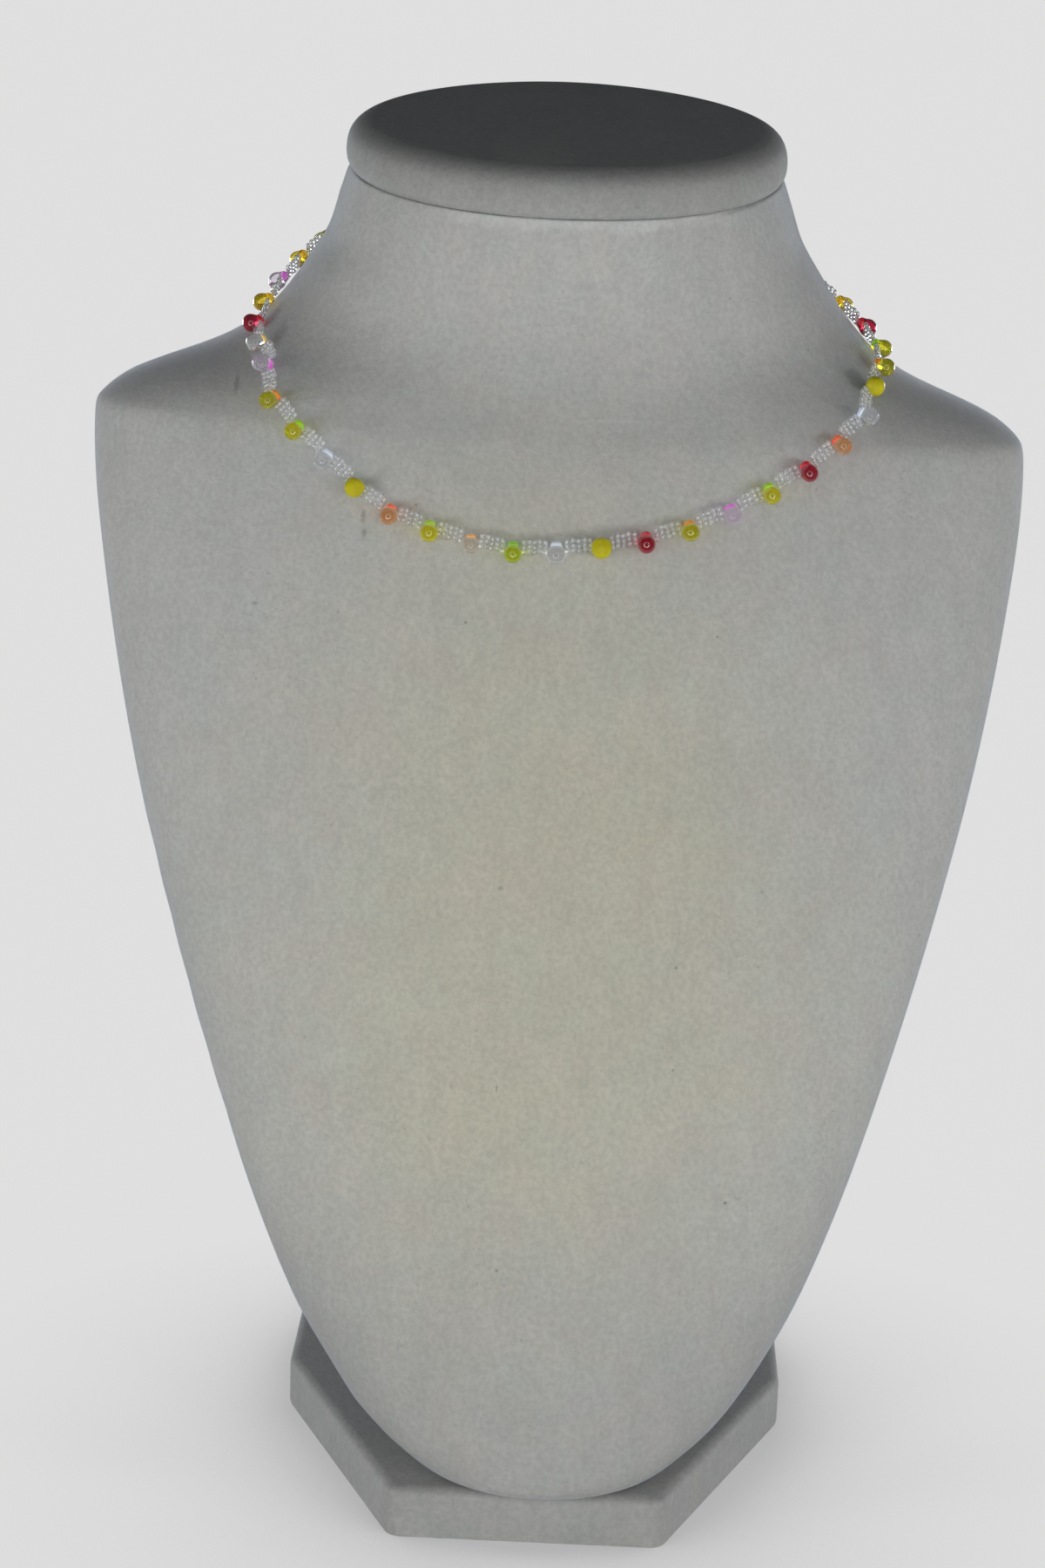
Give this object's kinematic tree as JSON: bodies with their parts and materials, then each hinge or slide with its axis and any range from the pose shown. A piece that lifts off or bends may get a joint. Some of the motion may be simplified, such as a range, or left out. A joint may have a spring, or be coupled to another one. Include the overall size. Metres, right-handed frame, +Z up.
{
  "type": "beaded choker necklace on neck bust",
  "caption": "Choker of clear woven seed beads with small coloured glass drops, closed round a plain velvet neck bust that stands on an eight-sided foot.",
  "frame": {"origin": "middle of the whole object's box, at the height of the foot's underside", "axes": "+Z up, the bust faces -Y, +X to the viewer's right"},
  "size_m": [0.2076, 0.1552, 0.2969],
  "materials": {
    "velvet": "short off-white velvet pile, lightly stained and worn",
    "seed_glass": "clear glossy seed beads",
    "clasp_metal": "plain silver-coloured metal",
    "glass_clear": "clear glossy glass, colour-lined bore",
    "glass_lilac": "pale lilac glossy glass, magenta-lined bore",
    "glass_yellow": "golden yellow glossy glass",
    "glass_lemon": "opaque lemon yellow glass, satin",
    "glass_red": "deep red glossy glass",
    "glass_olive": "olive glossy glass, orange-lined bore",
    "glass_lime": "lime glossy glass, green-lined bore",
    "glass_peach": "peach glossy glass, coral-lined bore"
  },
  "bodies": {
    "root": {"bust_foot": "velvet", "bust_torso": "velvet", "neck_cap": "velvet", "seed_band": "seed_glass", "clasp": "clasp_metal", "drop_01": "glass_red", "drop_02": "glass_clear", "drop_03": "glass_peach", "drop_04": "glass_lime", "drop_05": "glass_clear", "drop_06": "glass_lemon", "drop_07": "glass_olive", "drop_08": "glass_yellow", "drop_09": "glass_lilac", "drop_10": "glass_yellow", "drop_11": "glass_red", "drop_12": "glass_clear", "drop_13": "glass_lilac", "drop_14": "glass_olive", "drop_15": "glass_lime", "drop_16": "glass_clear", "drop_17": "glass_lemon", "drop_18": "glass_peach", "drop_19": "glass_lime", "drop_20": "glass_clear", "drop_21": "glass_lime", "drop_22": "glass_clear", "drop_23": "glass_lemon", "drop_24": "glass_red", "drop_25": "glass_olive", "drop_26": "glass_lilac", "drop_27": "glass_lime", "drop_28": "glass_red", "drop_29": "glass_peach", "drop_30": "glass_clear", "drop_31": "glass_lemon", "drop_32": "glass_olive", "drop_33": "glass_lime", "drop_34": "glass_red", "drop_35": "glass_yellow", "drop_36": "glass_clear", "drop_37": "glass_peach", "drop_38": "glass_lime", "drop_39": "glass_red", "drop_40": "glass_lemon", "drop_41": "glass_clear", "drop_42": "glass_olive"}
  },
  "joints": []
}
